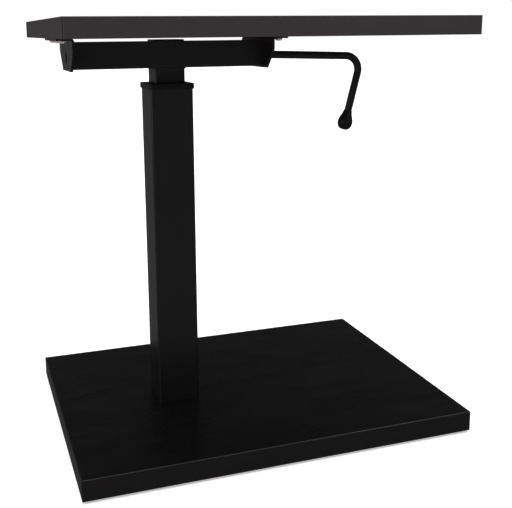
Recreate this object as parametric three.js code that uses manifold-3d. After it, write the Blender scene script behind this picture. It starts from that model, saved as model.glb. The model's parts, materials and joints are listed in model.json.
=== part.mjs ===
// A height adjustable standing desk on one off-centre lift column.
//
// A wide laminated base panel carries a square outer tube.  An inner tube slides in it on two
// plastic guides, pushed by a lockable gas spring.  A channel beam on the inner tube ends in two
// folded plates, and their flanges are screwed to the desktop.  A bent release lever leaves the
// beam through the right-hand plate.  It rocks on a pin and presses the gas spring's release rod.
//
// Millimetres, +Z up, +X along the desktop's long side, +Y towards the back.  The origin is on
// the floor under the centre of the base panel.  The desk stands at its lowest height.
import * as THREE from 'three';
import { mergeVertices } from 'three/addons/utils/BufferGeometryUtils.js';
import Module from 'manifold-3d';

const wasm = await Module();
wasm.setup();

// ---------------------------------------------------------------- driving dimensions

const DESK_HEIGHT = 730;
const LIFT_TRAVEL = 400;

// Clearance between pieces at rest, between sliding pieces, how far a cutter runs past,
// and the width of the chamfer on a turned piece's outer edge.
const GAP = 0.3;
const RUNNING_GAP = 0.2;
const PAST = 1;
const EDGE_BREAK = 1;

const GLIDE = { radius: 18, height: 4, inset: 48, spigotRadius: 4, spigotDepth: 10 };

const BASE = { length: 692, depth: 518, thickness: 36 };
const DESKTOP = { length: 658, depth: 552, thickness: 30, centreX: -13 };
const BAND = { thickness: 2, edgeRadius: 1.2 };

const COLUMN_X = -131.5;
const OUTER_TUBE = { width: 75, wall: 2.5, corner: 4, top: 617.5 };
const INNER_TUBE = { width: 53, wall: 2, corner: 3.5, top: 696 };
const COLLAR = { width: 79.5, corner: 5.5, skirt: 5.3, cap: 4.5 };
const FOOT_PLATE = { width: 200, thickness: 5, recess: 5, corner: 8, screwInset: 16 };
const BUMPER = { bore: 16, radius: 30, height: 20 };
const GUIDE = { height: 60, floor: 5, springHole: 17 };

const BEAM = { height: 45, wall: 2.5, bend: 4, bottom: 648 };
const END_PLATE = {
  innerX: 167.5, thickness: 4, width: 160, bottomWidth: 98, chamfer: 31, flange: 25, bend: 2.5,
  bottom: 645.5,
};
const SLOT = { width: 17, height: 20, centreZ: 667.5 };

// The rod droops from the pivot towards its elbow, and its arm leans back towards the column.
const LEVER = {
  radius: 7, droop: 1.8, pivotX: 100, pivotZ: 669.7, innerEnd: -8,
  elbowX: 378.2, armLean: 14.5, bendRadius: 26, armLength: 141.8,
};
const KNOB = { radius: 14, length: 37, neckRadius: 8, bore: 20, widest: 22.5, flatness: 0.7 };
const LEVER_WINDOW = { width: 15.5, above: 0.4, below: 2.8 };

const SPRING = {
  radius: 14, bore: 12, floor: 12, glandHeight: 20, spareStroke: 20,
  rodRadius: 5, rodBore: 2.2, rodTop: 659, pistonBottom: 58, pistonHeight: 12,
  pinRadius: 1.8, pinAbovePiston: 5,
};
const SPRING_BOLT = { radius: 4, headRadius: 7, headHeight: 3.5, reach: 9 };
const HEAD_PLATE = { bottom: 641, thickness: 10 };
const ROD_NUT = { radius: 9.5, height: 6, sides: 6 };
const PIVOT = { pinRadius: 3, boreRadius: 3.2, earY: 7.5, earThickness: 3, lug: 9 };
const PIN = { headRadius: 5, headHeight: 2, tail: 3.5 };
const CLIP = { radius: 5.5, thickness: 1.2, offset: 0.4, mouth: 3.2 };

const WOOD_SCREW = {
  radius: 2.5, pilot: 2.7, clearance: 3, point: 4, headRadius: 6.3, headHeight: 4.3,
  shoulderRadius: 5.8, shoulderHeight: 2.6, crownRadius: 3.8,
};
const TOP_SCREW_Y = [-66, 0, 66];
const TOP_SCREW_LENGTH = 22;
const FOOT_SCREW_LENGTH = 26;

// ---------------------------------------------------------------- values worked out from them

const BASE_BOTTOM = GLIDE.height;
const BASE_TOP = BASE_BOTTOM + BASE.thickness;
const DESKTOP_BOTTOM = DESK_HEIGHT - DESKTOP.thickness;
const FOOT_PLATE_BOTTOM = BASE_BOTTOM + FOOT_PLATE.recess;
const FOOT_PLATE_TOP = FOOT_PLATE_BOTTOM + FOOT_PLATE.thickness;
const OUTER_BORE = OUTER_TUBE.width - 2 * OUTER_TUBE.wall;
const INNER_BORE = INNER_TUBE.width - 2 * INNER_TUBE.wall;
const BUMPER_TOP = FOOT_PLATE_TOP + BUMPER.height;
const LOWER_GUIDE_BOTTOM = BUMPER_TOP + GAP;
const INNER_TUBE_BOTTOM = LOWER_GUIDE_BOTTOM + GUIDE.floor;
const PISTON_TOP = SPRING.pistonBottom + SPRING.pistonHeight;
const CYLINDER_TOP = PISTON_TOP + LIFT_TRAVEL + SPRING.spareStroke + SPRING.glandHeight;
const BEAM_INNER_WIDTH = INNER_TUBE.width + 2 * RUNNING_GAP;
const BEAM_WIDTH = BEAM_INNER_WIDTH + 2 * BEAM.wall;
const FLANGE_X = END_PLATE.innerX + END_PLATE.thickness + END_PLATE.flange;
const FLANGE_UNDERSIDE = DESKTOP_BOTTOM - END_PLATE.thickness;
const TOP_SCREW_X = FLANGE_X - END_PLATE.flange / 2;
const RADIANS = Math.PI / 180;

// How finely rounds are cut: steps of a corner's arc, and sides of a turned piece.
const CORNER_SEGMENTS = 3;
const TURNED_SEGMENTS = 20;
const SCREW_SEGMENTS = 12;
const LEVER_SIDES = 14;
const LEVER_STEPS = 52;
const KNOB_STEPS = 6;
const SLOT_SEGMENTS = 8;
const BAND_SEGMENTS = 2;

// ---------------------------------------------------------------- materials

function material(color, roughness, metalness) {
  return new THREE.MeshStandardMaterial({ color, roughness, metalness });
}

const desktopLaminate = () => material(0x38373a, 0.55, 0);
const baseLaminate = () => material(0x17171a, 0.4, 0);
const blackSteel = () => material(0x141416, 0.45, 0.3);
const bareSteel = () => material(0x9a9ca0, 0.35, 1);
const blackPlastic = () => material(0x1b1b1d, 0.6, 0);
const rubber = () => material(0x101010, 0.9, 0);
const acetal = () => material(0xd8d6cf, 0.5, 0);

// ---------------------------------------------------------------- solids

// A closed manifold solid from a three.js geometry.
function solid(geometry) {
  const bare = geometry.clone();
  bare.deleteAttribute('normal');
  bare.deleteAttribute('uv');
  const merged = mergeVertices(bare, 1e-4);
  return new wasm.Manifold(new wasm.Mesh({
    numProp: 3,
    vertProperties: new Float32Array(merged.attributes.position.array),
    triVerts: new Uint32Array(merged.index.array),
  }));
}

function geometryOf(body) {
  const mesh = body.getMesh();
  const geometry = new THREE.BufferGeometry();
  geometry.setAttribute('position', new THREE.BufferAttribute(mesh.vertProperties, 3));
  geometry.setIndex(new THREE.BufferAttribute(mesh.triVerts, 1));
  geometry.computeVertexNormals();
  return geometry;
}

function block(x0, x1, y0, y1, z0, z1) {
  const geometry = new THREE.BoxGeometry(x1 - x0, y1 - y0, z1 - z0);
  return solid(geometry.translate((x0 + x1) / 2, (y0 + y1) / 2, (z0 + z1) / 2));
}

// A flat outline in X and Y, raised from z0 to z1.
function prism(shape, z0, z1) {
  const geometry = new THREE.ExtrudeGeometry(shape, {
    depth: z1 - z0, bevelEnabled: false, steps: 1, curveSegments: CORNER_SEGMENTS,
  });
  return solid(geometry.translate(0, 0, z0));
}

// A rectangle with rounded corners, centred on the axis.
function roundedRectangle(width, depth, radius) {
  const x = width / 2;
  const y = depth / 2;
  const shape = new THREE.Shape();
  shape.moveTo(x - radius, -y);
  shape.absarc(x - radius, -y + radius, radius, -Math.PI / 2, 0);
  shape.absarc(x - radius, y - radius, radius, 0, Math.PI / 2);
  shape.absarc(-x + radius, y - radius, radius, Math.PI / 2, Math.PI);
  shape.absarc(-x + radius, -y + radius, radius, Math.PI, 1.5 * Math.PI);
  return shape;
}

function squareBar(width, corner, z0, z1) {
  return prism(roundedRectangle(width, width, corner), z0, z1);
}

function squareTube(tube, z0, z1) {
  const outside = squareBar(tube.width, tube.corner, z0, z1);
  const bore = tube.width - 2 * tube.wall;
  return outside.subtract(squareBar(bore, tube.corner - tube.wall, z0 - PAST, z1 + PAST));
}

// A solid of revolution about the Z axis from [radius, z] points that run upwards outside.
function turned(profile, segments = TURNED_SEGMENTS) {
  const points = profile.map(([r, z]) => new THREE.Vector2(r, z));
  return solid(new THREE.LatheGeometry(points, segments).rotateX(Math.PI / 2));
}

function rod(radius, z0, z1, segments = TURNED_SEGMENTS) {
  return turned([[0, z0], [radius, z0], [radius, z1], [0, z1]], segments);
}

function ring(inner, outer, z0, z1, segments = TURNED_SEGMENTS) {
  return rod(outer, z0, z1, segments).subtract(rod(inner, z0 - PAST, z1 + PAST, segments));
}

// An upright slot with round ends, cut through along X.
function slotCutter(width, height, centreZ, x0, x1) {
  const reach = (height - width) / 2;
  const shape = new THREE.Shape();
  shape.absarc(0, reach, width / 2, 0, Math.PI);
  shape.absarc(0, -reach, width / 2, Math.PI, 2 * Math.PI);
  const upright = new THREE.ExtrudeGeometry(shape, {
    depth: x1 - x0, bevelEnabled: false, steps: 1, curveSegments: SLOT_SEGMENTS,
  });
  // The outline's X becomes Y and its Y becomes Z.
  upright.applyMatrix4(new THREE.Matrix4().makeBasis(
    new THREE.Vector3(0, 1, 0), new THREE.Vector3(0, 0, 1), new THREE.Vector3(1, 0, 0),
  ));
  return solid(upright.translate(x0, 0, centreZ));
}

// ---------------------------------------------------------------- scene graph

const desk = new THREE.Group();
const column = new THREE.Group();
column.position.x = COLUMN_X;
desk.add(column);

function place(parent, name, body, finish) {
  const mesh = new THREE.Mesh(geometryOf(body), finish);
  mesh.name = name;
  parent.add(mesh);
  return mesh;
}

// ---------------------------------------------------------------- panels with edge bands

// The edge band's section: X outwards from the panel core, Y up from the band's lower edge.
function bandSection(height) {
  const t = BAND.thickness;
  const r = BAND.edgeRadius;
  const shape = new THREE.Shape();
  shape.moveTo(0, 0);
  shape.lineTo(t - r, 0);
  shape.absarc(t - r, r, r, -Math.PI / 2, 0);
  shape.absarc(t - r, height - r, r, 0, Math.PI / 2);
  shape.lineTo(0, height);
  return shape;
}

// A band of the given run, on the side of the panel that faces the given angle.
function bandGeometry(panel, bottom, run, distance, angle) {
  const geometry = new THREE.ExtrudeGeometry(bandSection(panel.thickness), {
    depth: run, bevelEnabled: false, steps: 1, curveSegments: BAND_SEGMENTS,
  });
  // Section X stays X (outwards), section Y becomes Z and the run lies along -Y.
  geometry.rotateX(Math.PI / 2);
  geometry.translate(distance, run / 2, bottom);
  return geometry.rotateZ(angle);
}

// The side bands run the panel's full depth and the front and back bands fit between them.
function addBands(group, prefix, panel, bottom, finish) {
  const coreLength = panel.length - 2 * BAND.thickness;
  const coreDepth = panel.depth - 2 * BAND.thickness;
  const sides = [
    ['right', panel.depth, coreLength / 2, 0],
    ['back', coreLength, coreDepth / 2, 90],
    ['left', panel.depth, coreLength / 2, 180],
    ['front', coreLength, coreDepth / 2, 270],
  ];
  for (const [side, run, distance, degrees] of sides) {
    const geometry = bandGeometry(panel, bottom, run, distance, degrees * RADIANS);
    place(group, `${prefix}_edge_band_${side}`, solid(geometry), finish());
  }
}

function panelCore(panel, bottom) {
  const x = panel.length / 2 - BAND.thickness;
  const y = panel.depth / 2 - BAND.thickness;
  return block(-x, x, -y, y, bottom, bottom + panel.thickness);
}

// ---------------------------------------------------------------- base

function glidePositions() {
  const x = BASE.length / 2 - GLIDE.inset;
  const y = BASE.depth / 2 - GLIDE.inset;
  return [
    ['front_left', -x, -y],
    ['front_right', x, -y],
    ['back_left', -x, y],
    ['back_right', x, y],
  ];
}

// Eight screws round the foot plate: its corners and the middles of its sides.
function footScrewPositions() {
  const reach = FOOT_PLATE.width / 2 - FOOT_PLATE.screwInset;
  const places = [];
  for (const x of [-reach, 0, reach]) {
    for (const y of [-reach, 0, reach]) {
      if (x !== 0 || y !== 0) places.push([x, y]);
    }
  }
  return places;
}

function addBasePanel() {
  let panel = panelCore(BASE, BASE_BOTTOM);
  const pocketWidth = FOOT_PLATE.width + 2 * GAP;
  const pocket = squareBar(
    pocketWidth, FOOT_PLATE.corner, BASE_BOTTOM - PAST, FOOT_PLATE_TOP + GAP,
  );
  const tubeHole = squareBar(
    OUTER_TUBE.width + 2 * GAP, OUTER_TUBE.corner, BASE_BOTTOM, BASE_TOP + PAST,
  );
  panel = panel.subtract(pocket.add(tubeHole).translate([COLUMN_X, 0, 0]));
  for (const [x, y] of footScrewPositions()) {
    const top = FOOT_PLATE_BOTTOM + FOOT_SCREW_LENGTH + PAST;
    const pilot = rod(WOOD_SCREW.pilot, FOOT_PLATE_TOP - PAST, top, SCREW_SEGMENTS);
    panel = panel.subtract(pilot.translate([COLUMN_X + x, y, 0]));
  }
  for (const [, x, y] of glidePositions()) {
    const top = GLIDE.height + GLIDE.spigotDepth + GAP;
    const socket = rod(GLIDE.spigotRadius + GAP, BASE_BOTTOM - PAST, top, SCREW_SEGMENTS);
    panel = panel.subtract(socket.translate([x, y, 0]));
  }
  place(desk, 'base_panel', panel, baseLaminate());
  addBands(desk, 'base', BASE, BASE_BOTTOM, baseLaminate);
}

function addGlides() {
  const pad = [
    [0, 0],
    [GLIDE.radius - EDGE_BREAK, 0],
    [GLIDE.radius, EDGE_BREAK],
    [GLIDE.radius, GLIDE.height],
    [GLIDE.spigotRadius, GLIDE.height],
    [GLIDE.spigotRadius, GLIDE.height + GLIDE.spigotDepth],
    [0, GLIDE.height + GLIDE.spigotDepth],
  ];
  for (const [corner, x, y] of glidePositions()) {
    place(desk, `glide_${corner}`, turned(pad), rubber()).position.set(x, y, 0);
  }
}

function addFootPlate() {
  let plate = squareBar(
    FOOT_PLATE.width, FOOT_PLATE.corner, FOOT_PLATE_BOTTOM, FOOT_PLATE_TOP,
  );
  const drill = (radius) => (
    rod(radius, FOOT_PLATE_BOTTOM - PAST, FOOT_PLATE_TOP + PAST, SCREW_SEGMENTS)
  );
  for (const [x, y] of footScrewPositions()) {
    plate = plate.subtract(drill(WOOD_SCREW.clearance).translate([x, y, 0]));
  }
  plate = plate.subtract(drill(SPRING_BOLT.radius + GAP));
  place(column, 'foot_plate', plate, blackSteel());
}

// A pan-head wood screw that points up, with the underside of its head at z = 0.
function woodScrew(length) {
  const { radius, point, headRadius, headHeight } = WOOD_SCREW;
  return turned([
    [0, -headHeight],
    [WOOD_SCREW.crownRadius, -headHeight],
    [WOOD_SCREW.shoulderRadius, -WOOD_SCREW.shoulderHeight],
    [headRadius, 0],
    [radius, 0],
    [radius, length - point],
    [0, length],
  ], SCREW_SEGMENTS);
}

function addFootScrews() {
  footScrewPositions().forEach(([x, y], index) => {
    const screw = place(
      column, `foot_screw_${index + 1}`, woodScrew(FOOT_SCREW_LENGTH), bareSteel(),
    );
    screw.position.set(x, y, FOOT_PLATE_BOTTOM);
  });
}

// ---------------------------------------------------------------- column, fixed pieces

function addOuterTube() {
  const tube = squareTube(OUTER_TUBE, FOOT_PLATE_TOP, OUTER_TUBE.top);
  place(column, 'outer_tube', tube, blackSteel());
}

// A moulded cap over the tube's mouth.  Its rim stands proud of the tube all round.
function addCollar() {
  const top = OUTER_TUBE.top + COLLAR.cap;
  const cap = squareBar(COLLAR.width, COLLAR.corner, OUTER_TUBE.top - COLLAR.skirt, top);
  const seat = squareBar(
    OUTER_TUBE.width + GAP, OUTER_TUBE.corner, OUTER_TUBE.top - COLLAR.skirt - PAST,
    OUTER_TUBE.top,
  );
  const mouth = squareBar(
    INNER_TUBE.width + 2 * GAP, INNER_TUBE.corner + GAP, OUTER_TUBE.top - PAST, top + PAST,
  );
  place(column, 'column_collar', cap.subtract(seat).subtract(mouth), blackPlastic());
}

function addUpperGuide() {
  const bottom = OUTER_TUBE.top - GUIDE.height;
  const outside = squareBar(
    OUTER_BORE - GAP, OUTER_TUBE.corner - OUTER_TUBE.wall, bottom, OUTER_TUBE.top,
  );
  const bore = squareBar(
    INNER_TUBE.width + 2 * RUNNING_GAP, INNER_TUBE.corner, bottom - PAST, OUTER_TUBE.top + PAST,
  );
  place(column, 'upper_guide_bush', outside.subtract(bore), acetal());
}

function addBumper() {
  const bumper = ring(BUMPER.bore, BUMPER.radius, FOOT_PLATE_TOP, BUMPER_TOP);
  place(column, 'bottom_bumper', bumper, rubber());
}

function addGasCylinder() {
  const { radius, bore, floor, glandHeight, rodRadius } = SPRING;
  const bottom = FOOT_PLATE_TOP;
  const cup = turned([
    [0, bottom], [radius, bottom], [radius, CYLINDER_TOP], [bore, CYLINDER_TOP],
    [bore, bottom + floor], [0, bottom + floor],
  ]);
  const thread = rod(SPRING_BOLT.radius + GAP, bottom - PAST, bottom + SPRING_BOLT.reach + GAP);
  place(column, 'gas_cylinder', cup.subtract(thread), blackSteel());
  const gland = ring(rodRadius + GAP, bore - GAP, CYLINDER_TOP - glandHeight, CYLINDER_TOP);
  place(column, 'cylinder_gland', gland, bareSteel());
}

function addSpringBolt() {
  const { radius, headRadius, headHeight, reach } = SPRING_BOLT;
  const bolt = turned([
    [0, FOOT_PLATE_BOTTOM - headHeight],
    [headRadius - EDGE_BREAK, FOOT_PLATE_BOTTOM - headHeight],
    [headRadius, FOOT_PLATE_BOTTOM - headHeight + EDGE_BREAK],
    [headRadius, FOOT_PLATE_BOTTOM],
    [radius, FOOT_PLATE_BOTTOM],
    [radius, FOOT_PLATE_TOP + reach],
    [0, FOOT_PLATE_TOP + reach],
  ]);
  place(column, 'gas_spring_bolt', bolt, bareSteel());
}

// ---------------------------------------------------------------- column, lifting pieces

// Both side walls have a window, so that the lever can be fitted on either side.  The
// window's upper edge is the stop that the lever rests against.
function addInnerTube() {
  const { width, above, below } = LEVER_WINDOW;
  const rodHeight = leverHeight(INNER_TUBE.width / 2);
  const top = rodHeight + LEVER.radius + above;
  const bottom = rodHeight - LEVER.radius - below;
  const tube = squareTube(INNER_TUBE, INNER_TUBE_BOTTOM, INNER_TUBE.top);
  const reach = INNER_TUBE.width;
  const windows = slotCutter(width, top - bottom, (top + bottom) / 2, -reach, reach);
  place(column, 'inner_tube', tube.subtract(windows), blackSteel());
}

function addLowerGuide() {
  const top = LOWER_GUIDE_BOTTOM + GUIDE.height;
  const outside = squareBar(
    OUTER_BORE - 2 * RUNNING_GAP, OUTER_TUBE.corner - OUTER_TUBE.wall, LOWER_GUIDE_BOTTOM, top,
  );
  const seat = squareBar(
    INNER_TUBE.width + GAP, INNER_TUBE.corner, INNER_TUBE_BOTTOM, top + PAST,
  );
  const springHole = rod(GUIDE.springHole, LOWER_GUIDE_BOTTOM - PAST, top);
  place(column, 'lower_guide_bush', outside.subtract(seat).subtract(springHole), acetal());
}

function addHeadPlate() {
  const { bottom, thickness } = HEAD_PLATE;
  const top = bottom + thickness;
  const plate = squareBar(INNER_BORE - GAP, INNER_TUBE.corner - INNER_TUBE.wall, bottom, top);
  const nutTop = top + ROD_NUT.height;
  const thread = rod(SPRING.rodRadius + RUNNING_GAP, bottom - PAST, nutTop + PAST);
  place(column, 'head_plate', plate.subtract(thread), blackSteel());
  const nut = rod(ROD_NUT.radius, top, nutTop, ROD_NUT.sides);
  place(column, 'piston_rod_nut', nut.subtract(thread), bareSteel());
}

function addPistonRod() {
  const { rodRadius, rodBore, rodTop, pistonBottom, bore } = SPRING;
  place(column, 'piston_rod', ring(rodBore, rodRadius, PISTON_TOP, rodTop), bareSteel());
  place(column, 'piston', rod(bore - 2 * GAP, pistonBottom, PISTON_TOP), bareSteel());
}

// The long push rod inside the hollow piston rod, from the valve to the lever.
function addReleaseRod() {
  const bottom = PISTON_TOP + SPRING.pinAbovePiston;
  const leverUnderside = leverHeight(0) - LEVER.radius;
  const pin = rod(SPRING.pinRadius, bottom, leverUnderside - GAP, SCREW_SEGMENTS);
  place(column, 'release_rod', pin, bareSteel());
}

// ---------------------------------------------------------------- beam, end plates, desktop

// A channel that is open at the top.  The inner tube stands in a square hole in its floor.
function addBeam() {
  const outside = new THREE.Shape();
  const y = BEAM_WIDTH / 2;
  const inside = BEAM_INNER_WIDTH / 2;
  const r = BEAM.bend;
  const innerR = BEAM.bend - BEAM.wall;
  outside.moveTo(-y, BEAM.height);
  outside.lineTo(-y, r);
  outside.absarc(-y + r, r, r, Math.PI, 1.5 * Math.PI);
  outside.absarc(y - r, r, r, 1.5 * Math.PI, 2 * Math.PI);
  outside.lineTo(y, BEAM.height);
  outside.lineTo(inside, BEAM.height);
  outside.lineTo(inside, BEAM.wall + innerR);
  outside.absarc(inside - innerR, BEAM.wall + innerR, innerR, 0, -Math.PI / 2, true);
  outside.absarc(-inside + innerR, BEAM.wall + innerR, innerR, -Math.PI / 2, -Math.PI, true);
  outside.lineTo(-inside, BEAM.height);
  const channel = alongX(outside, -END_PLATE.innerX, END_PLATE.innerX, BEAM.bottom);
  const hole = squareBar(
    INNER_TUBE.width + GAP, INNER_TUBE.corner, BEAM.bottom - PAST, BEAM.bottom + BEAM.bend,
  );
  place(column, 'beam_channel', channel.subtract(hole), blackSteel());
}

// A section drawn in Y and Z, run along X from x0 to x1 and raised by z.
function alongX(shape, x0, x1, z) {
  const geometry = new THREE.ExtrudeGeometry(shape, {
    depth: x1 - x0, bevelEnabled: false, steps: 1, curveSegments: CORNER_SEGMENTS,
  });
  geometry.applyMatrix4(new THREE.Matrix4().makeBasis(
    new THREE.Vector3(0, 1, 0), new THREE.Vector3(0, 0, 1), new THREE.Vector3(1, 0, 0),
  ));
  return solid(geometry.translate(x0, 0, z));
}

// The folded section of the right-hand plate: upright, bend and outward flange, in X and Z.
function endPlateSection() {
  const x0 = END_PLATE.innerX;
  const t = END_PLATE.thickness;
  const inner = END_PLATE.bend;
  const outer = inner + t;
  const shape = new THREE.Shape();
  shape.moveTo(x0, END_PLATE.bottom);
  shape.lineTo(x0 + t, END_PLATE.bottom);
  shape.lineTo(x0 + t, FLANGE_UNDERSIDE - inner);
  shape.absarc(x0 + outer, FLANGE_UNDERSIDE - inner, inner, Math.PI, Math.PI / 2, true);
  shape.lineTo(FLANGE_X, FLANGE_UNDERSIDE);
  shape.lineTo(FLANGE_X, DESKTOP_BOTTOM);
  shape.lineTo(x0 + outer, DESKTOP_BOTTOM);
  shape.absarc(x0 + outer, DESKTOP_BOTTOM - outer, outer, Math.PI / 2, Math.PI);
  return shape;
}

// The plate seen along X: square-shouldered at the top, with two chamfered lower corners.
function endPlateOutline() {
  const top = END_PLATE.width / 2;
  const bottom = END_PLATE.bottomWidth / 2;
  const aboveTop = DESKTOP_BOTTOM + PAST - END_PLATE.bottom;
  const shape = new THREE.Shape();
  shape.moveTo(-bottom, 0);
  shape.lineTo(bottom, 0);
  shape.lineTo(top, END_PLATE.chamfer);
  shape.lineTo(top, aboveTop);
  shape.lineTo(-top, aboveTop);
  shape.lineTo(-top, END_PLATE.chamfer);
  return shape;
}

function addEndPlates() {
  const folded = new THREE.ExtrudeGeometry(endPlateSection(), {
    depth: END_PLATE.width, bevelEnabled: false, steps: 1, curveSegments: CORNER_SEGMENTS,
  });
  folded.rotateX(Math.PI / 2).translate(0, END_PLATE.width / 2, 0);
  const outline = alongX(endPlateOutline(), 0, FLANGE_X + PAST, END_PLATE.bottom);
  const slot = slotCutter(
    SLOT.width, SLOT.height, SLOT.centreZ, END_PLATE.innerX - PAST, FLANGE_X,
  );
  let plate = solid(folded).intersect(outline).subtract(slot);
  for (const y of TOP_SCREW_Y) {
    const drill = rod(
      WOOD_SCREW.clearance, FLANGE_UNDERSIDE - PAST, DESKTOP_BOTTOM + PAST, SCREW_SEGMENTS,
    );
    plate = plate.subtract(drill.translate([TOP_SCREW_X, y, 0]));
  }
  place(column, 'end_plate_right', plate, blackSteel());
  place(column, 'end_plate_left', plate.rotate([0, 0, 180]), blackSteel());
}

function topScrewPositions() {
  const places = [];
  for (const x of [-TOP_SCREW_X, TOP_SCREW_X]) {
    for (const y of TOP_SCREW_Y) places.push([x, y]);
  }
  return places;
}

function addDesktop() {
  const group = new THREE.Group();
  group.position.x = DESKTOP.centreX;
  desk.add(group);
  let panel = panelCore(DESKTOP, DESKTOP_BOTTOM);
  for (const [x, y] of topScrewPositions()) {
    const top = FLANGE_UNDERSIDE + TOP_SCREW_LENGTH + PAST;
    const pilot = rod(WOOD_SCREW.pilot, DESKTOP_BOTTOM - PAST, top, SCREW_SEGMENTS);
    panel = panel.subtract(pilot.translate([COLUMN_X - DESKTOP.centreX + x, y, 0]));
  }
  place(group, 'desktop_panel', panel, desktopLaminate());
  addBands(group, 'desktop', DESKTOP, DESKTOP_BOTTOM, desktopLaminate);
}

function addTopScrews() {
  topScrewPositions().forEach(([x, y], index) => {
    const screw = place(
      column, `desktop_screw_${index + 1}`, woodScrew(TOP_SCREW_LENGTH), bareSteel(),
    );
    screw.position.set(x, y, FLANGE_UNDERSIDE);
  });
}

// ---------------------------------------------------------------- release lever

// Height of the lever rod's centre line at a distance x from the column's axis.
function leverHeight(x) {
  return LEVER.pivotZ - (x - LEVER.pivotX) * Math.tan(LEVER.droop * RADIANS);
}

// The rod's centre line: a straight run, one bend and a straight arm, by distance along it.
class LeverPath extends THREE.Curve {
  constructor() {
    super();
    const along = LEVER.droop * RADIANS;
    const down = (90 + LEVER.armLean) * RADIANS;
    this.turn = down - along;
    this.start = new THREE.Vector2(LEVER.innerEnd, leverHeight(LEVER.innerEnd));
    this.heading = -along;
    const elbow = new THREE.Vector2(LEVER.elbowX, leverHeight(LEVER.elbowX));
    const tangent = LEVER.bendRadius * Math.tan(this.turn / 2);
    this.run = elbow.distanceTo(this.start) - tangent;
    this.arc = LEVER.bendRadius * this.turn;
    this.arm = LEVER.armLength - tangent - (KNOB.length - KNOB.bore);
    this.total = this.run + this.arc + this.arm;
  }

  step(from, heading, distance) {
    return new THREE.Vector2(
      from.x + Math.cos(heading) * distance, from.y + Math.sin(heading) * distance,
    );
  }

  flatPoint(distance) {
    if (distance <= this.run) return this.step(this.start, this.heading, distance);
    const bendStart = this.step(this.start, this.heading, this.run);
    const angle = Math.min((distance - this.run) / LEVER.bendRadius, this.turn);
    const chord = 2 * LEVER.bendRadius * Math.sin(angle / 2);
    const onBend = this.step(bendStart, this.heading - angle / 2, chord);
    const left = Math.max(distance - this.run - this.arc, 0);
    return this.step(onBend, this.heading - angle, left);
  }

  getPoint(t, target = new THREE.Vector3()) {
    const point = this.flatPoint(t * this.total);
    return target.set(point.x, 0, point.y);
  }
}

function circle(radius, sides) {
  const points = [];
  for (let i = 0; i < sides; i += 1) {
    const angle = (i / sides) * 2 * Math.PI;
    points.push(new THREE.Vector2(radius * Math.cos(angle), radius * Math.sin(angle)));
  }
  return new THREE.Shape(points);
}

function addLeverRod(path) {
  const sweep = new THREE.ExtrudeGeometry(circle(LEVER.radius, LEVER_SIDES), {
    steps: LEVER_STEPS, bevelEnabled: false, extrudePath: path,
  });
  const reach = LEVER.radius + PAST;
  const bore = rod(PIVOT.boreRadius, -reach, reach).rotate([90, 0, 0]);
  const lever = solid(sweep).subtract(bore.translate([LEVER.pivotX, 0, LEVER.pivotZ]));
  place(column, 'lever_rod', lever, blackSteel());
}

// A teardrop grip.  Its neck is at z = 0 and its flattened round end at z = length.
function addKnob(path) {
  const { radius, length, neckRadius, bore, widest, flatness } = KNOB;
  const profile = [[0, 0], [neckRadius, 0]];
  for (let i = 1; i <= KNOB_STEPS; i += 1) {
    const t = i / KNOB_STEPS;
    const ease = t * t * (3 - 2 * t);
    profile.push([neckRadius + (radius - neckRadius) * ease, widest * t]);
  }
  for (let i = 1; i < KNOB_STEPS; i += 1) {
    const angle = (i / KNOB_STEPS) * Math.PI / 2;
    const round = Math.cos(angle) ** flatness;
    profile.push([radius * round, widest + (length - widest) * Math.sin(angle)]);
  }
  profile.push([0, length]);
  const socket = rod(LEVER.radius + RUNNING_GAP, -PAST, bore + GAP);
  const grip = turned(profile).subtract(socket);
  const knob = place(column, 'lever_knob', grip, blackPlastic());
  const end = path.getPoint(1);
  const neck = path.flatPoint(path.total - bore);
  knob.position.set(neck.x, 0, neck.y);
  const direction = end.clone().sub(knob.position).normalize();
  knob.quaternion.setFromUnitVectors(new THREE.Vector3(0, 0, 1), direction);
}

// A small folded bracket on the beam's floor, with an ear on each side of the lever.
function addPivotBracket() {
  const { earY, earThickness, boreRadius, lug } = PIVOT;
  const floor = BEAM.bottom + BEAM.wall;
  const half = earY + earThickness;
  const x = LEVER.pivotX;
  const top = LEVER.pivotZ + lug;
  let bracket = block(x - lug, x + lug, -half, half, floor, floor + earThickness);
  for (const side of [-1, 1]) {
    const y0 = side > 0 ? earY : -half;
    bracket = bracket.add(block(x - lug, x + lug, y0, y0 + earThickness, floor, top));
  }
  const bore = rod(boreRadius, -half - PAST, half + PAST).rotate([90, 0, 0]);
  bracket = bracket.subtract(bore.translate([x, 0, LEVER.pivotZ]));
  place(column, 'lever_bracket', bracket, blackSteel());
}

function addPivotPin() {
  const { pinRadius, earY, earThickness } = PIVOT;
  const half = earY + earThickness;
  const headEnd = -half - PIN.headHeight;
  const tailEnd = half + PIN.tail;
  const pin = turned([
    [0, headEnd], [PIN.headRadius, headEnd], [PIN.headRadius, -half], [pinRadius, -half],
    [pinRadius, tailEnd], [0, tailEnd],
  ]);
  const clipStart = half + CLIP.offset;
  const clip = ring(pinRadius + RUNNING_GAP, CLIP.radius, clipStart, clipStart + CLIP.thickness);
  const mouth = block(0, CLIP.radius + PAST, -CLIP.mouth / 2, CLIP.mouth / 2, half, tailEnd);
  const pieces = [['lever_pivot_pin', pin], ['pivot_pin_clip', clip.subtract(mouth)]];
  for (const [name, body] of pieces) {
    const mesh = place(column, name, body, bareSteel());
    mesh.rotation.x = -Math.PI / 2;
    mesh.position.set(LEVER.pivotX, 0, LEVER.pivotZ);
  }
}

function addLever() {
  const path = new LeverPath();
  addLeverRod(path);
  addKnob(path);
}

// ---------------------------------------------------------------- assembly

addBasePanel();
addGlides();
addFootPlate();
addFootScrews();
addOuterTube();
addCollar();
addUpperGuide();
addBumper();
addGasCylinder();
addSpringBolt();

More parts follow.
